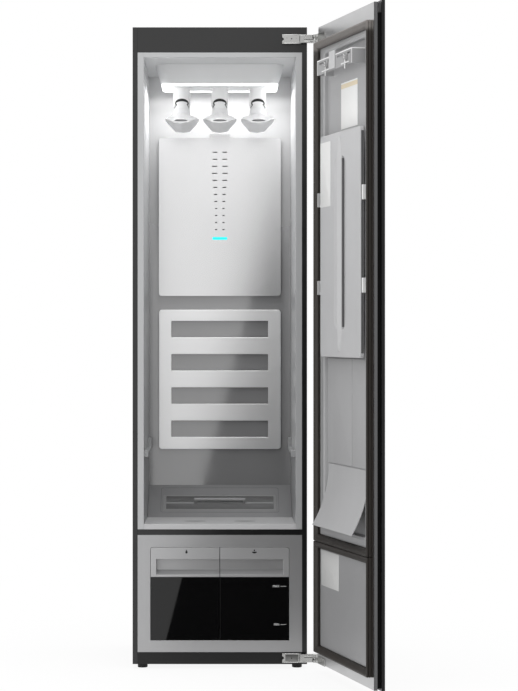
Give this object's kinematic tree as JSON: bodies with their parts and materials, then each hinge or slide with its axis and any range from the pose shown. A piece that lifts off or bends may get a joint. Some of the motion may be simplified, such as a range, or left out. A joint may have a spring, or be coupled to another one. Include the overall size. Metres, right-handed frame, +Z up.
{
  "type": "clothes care steam cabinet",
  "caption": "Tall cabinet that steams and airs hanging clothes, with a hinged door that carries a trouser press, pull-out water tanks and pull-off air hangers.",
  "frame": {"origin": "on the floor, under the middle of the cabinet body", "axes": "+Z up, +Y from the front of the cabinet to its back, +X to the right seen from the front"},
  "size_m": [0.7665, 1.1855, 2.06],
  "materials": {
    "dark_steel": "satin powder coat",
    "rear_steel": "galvanised grey",
    "bright_steel": "zinc plated",
    "foot_black": "moulded",
    "black_plastic": "moulded",
    "liner_grey": "satin moulded",
    "back_wall_gloss": "gloss",
    "silver_panel": "satin silver",
    "filter_grey": "moulded",
    "led_cyan": "lit",
    "ceiling_light": "lit",
    "white_plastic": "moulded",
    "hanger_white": "moulded",
    "clip_white": "moulded",
    "seal_rubber": "soft",
    "lower_panel_grey": "satin silver",
    "tank_cover_grey": "satin silver",
    "smoked_tank": "smoked gloss",
    "machine_black": "gloss enamel",
    "machine_plastic": "moulded",
    "coil_aluminium": "mill finish",
    "boiler_aluminium": "cast",
    "hose_rubber": "silicone",
    "board_green": "board",
    "door_plate_grey": "satin silver",
    "channel_black": "moulded",
    "door_dark_steel": "satin",
    "gasket_taupe": "soft",
    "door_liner_grey": "satin moulded",
    "guide_grey": "satin moulded",
    "press_grey": "satin moulded",
    "holder_grey": "satin moulded"
  },
  "bodies": {
    "cabinet": {"base_pan": "dark_steel", "right_side_panel": "dark_steel", "left_side_panel": "dark_steel", "top_panel": "dark_steel", "rear_panel": "rear_steel", "power_inlet": "black_plastic", "panel_screws": "bright_steel", "divider_bar": "dark_steel", "liner_right_wall": "liner_grey", "liner_left_wall": "liner_grey", "liner_ceiling": "liner_grey", "liner_back_wall": "back_wall_gloss", "floor_tray": "liner_grey", "intake_housing": "liner_grey", "upper_back_panel": "silver_panel", "led_bar": "led_cyan", "lower_back_panel": "silver_panel", "ceiling_housing": "liner_grey", "ceiling_light_frame": "ceiling_light", "steam_nozzles": "white_plastic", "nozzle_seals": "seal_rubber", "lower_front_panel": "lower_panel_grey", "tank_bay": "black_plastic", "compressor": "machine_black", "heat_exchanger": "coil_aluminium", "steam_generator": "boiler_aluminium", "feed_pump": "black_plastic", "blower_housing": "machine_plastic", "steam_hose": "hose_rubber", "control_board": "board_green", "hinge_arms": "bright_steel", "hinge_pins": "bright_steel"},
    "door": {"door_inner_plate": "door_plate_grey", "door_channel": "channel_black", "door_outer_panel": "door_dark_steel", "door_gaskets": "gasket_taupe", "upper_door_liner": "door_liner_grey", "lower_door_liner": "door_liner_grey", "drip_guide": "guide_grey", "press_clips": "clip_white", "trouser_bar": "holder_grey", "hinge_brackets": "bright_steel"},
    "press": {"press_plate": "press_grey"},
    "left_clip": {"left_clip_carriage": "holder_grey"},
    "left_jaw": {"left_clip_jaw": "clip_white"},
    "right_clip": {"right_clip_carriage": "holder_grey"},
    "right_jaw": {"right_clip_jaw": "clip_white"},
    "fresh_tank": {"fresh_tank": "smoked_tank", "fresh_tank_cover": "tank_cover_grey"},
    "drain_tank": {"drain_tank": "smoked_tank", "drain_tank_cover": "tank_cover_grey"},
    "filter": {"filter_grille": "filter_grey"},
    "left_hanger": {"hanger_left": "hanger_white"},
    "centre_hanger": {"hanger_centre": "hanger_white"},
    "right_hanger": {"hanger_right": "hanger_white"},
    "blower_wheel": {"blower_wheel": "machine_plastic"},
    "front_left_foot": {"front_left_foot": "foot_black"},
    "front_right_foot": {"front_right_foot": "foot_black"},
    "rear_left_foot": {"rear_left_foot": "foot_black"},
    "rear_right_foot": {"rear_right_foot": "foot_black"}
  },
  "joints": [
    {"name": "door_swing", "type": "hinge", "parent": "cabinet", "child": "door", "pos_m": [0.315, -0.307, 1.0288], "axis": [0, 0, 1], "range_deg": [-103.6, 11.4]},
    {"name": "press_swing", "type": "hinge", "parent": "door", "child": "press", "pos_m": [0.32411, -0.39996, 1.35], "axis": [0, 0, -1], "range_deg": [0, 90]},
    {"name": "fresh_tank_slide", "type": "slide", "parent": "cabinet", "child": "fresh_tank", "axis": [0, -1, 0], "range_m": [0, 0.27]},
    {"name": "drain_tank_slide", "type": "slide", "parent": "cabinet", "child": "drain_tank", "axis": [0, -1, 0], "range_m": [0, 0.27]},
    {"name": "filter_lift", "type": "slide", "parent": "cabinet", "child": "filter", "axis": [0, -0.4706, 0.8824], "range_m": [0, 0.05]},
    {"name": "left_hanger_pull", "type": "slide", "parent": "cabinet", "child": "left_hanger", "axis": [0, 0, -1], "range_m": [0, 0.04]},
    {"name": "centre_hanger_pull", "type": "slide", "parent": "cabinet", "child": "centre_hanger", "axis": [0, 0, -1], "range_m": [0, 0.04]},
    {"name": "right_hanger_pull", "type": "slide", "parent": "cabinet", "child": "right_hanger", "axis": [0, 0, -1], "range_m": [0, 0.04]},
    {"name": "left_clip_slide", "type": "slide", "parent": "door", "child": "left_clip", "axis": [0.2351, -0.972, 0], "range_m": [-0.081, 0.007]},
    {"name": "left_jaw_pinch", "type": "hinge", "parent": "left_clip", "child": "left_jaw", "pos_m": [0.32522, -0.5674, 1.905], "axis": [-0.2351, 0.972, 0], "range_deg": [0, 15], "stiffness_Nm_per_rad": 0.2, "springref_deg": -17.19},
    {"name": "right_clip_slide", "type": "slide", "parent": "door", "child": "right_clip", "axis": [0.2351, -0.972, 0], "range_m": [-0.095, 0.028]},
    {"name": "right_jaw_pinch", "type": "hinge", "parent": "right_clip", "child": "right_jaw", "pos_m": [0.37436, -0.77054, 1.905], "axis": [-0.2351, 0.972, 0], "range_deg": [0, 15], "stiffness_Nm_per_rad": 0.2, "springref_deg": -17.19},
    {"name": "blower_spin", "type": "hinge", "parent": "cabinet", "child": "blower_wheel", "pos_m": [0.138, 0.231, 0.2885], "axis": [0, 1, 0], "continuous": true},
    {"name": "front_left_foot_turn", "type": "hinge", "parent": "cabinet", "child": "front_left_foot", "pos_m": [-0.249, -0.235, 0.013], "axis": [0, 0, 1], "continuous": true},
    {"name": "front_right_foot_turn", "type": "hinge", "parent": "cabinet", "child": "front_right_foot", "pos_m": [0.249, -0.235, 0.013], "axis": [0, 0, 1], "continuous": true},
    {"name": "rear_left_foot_turn", "type": "hinge", "parent": "cabinet", "child": "rear_left_foot", "pos_m": [-0.249, 0.235, 0.013], "axis": [0, 0, 1], "continuous": true},
    {"name": "rear_right_foot_turn", "type": "hinge", "parent": "cabinet", "child": "rear_right_foot", "pos_m": [0.249, 0.235, 0.013], "axis": [0, 0, 1], "continuous": true}
  ]
}
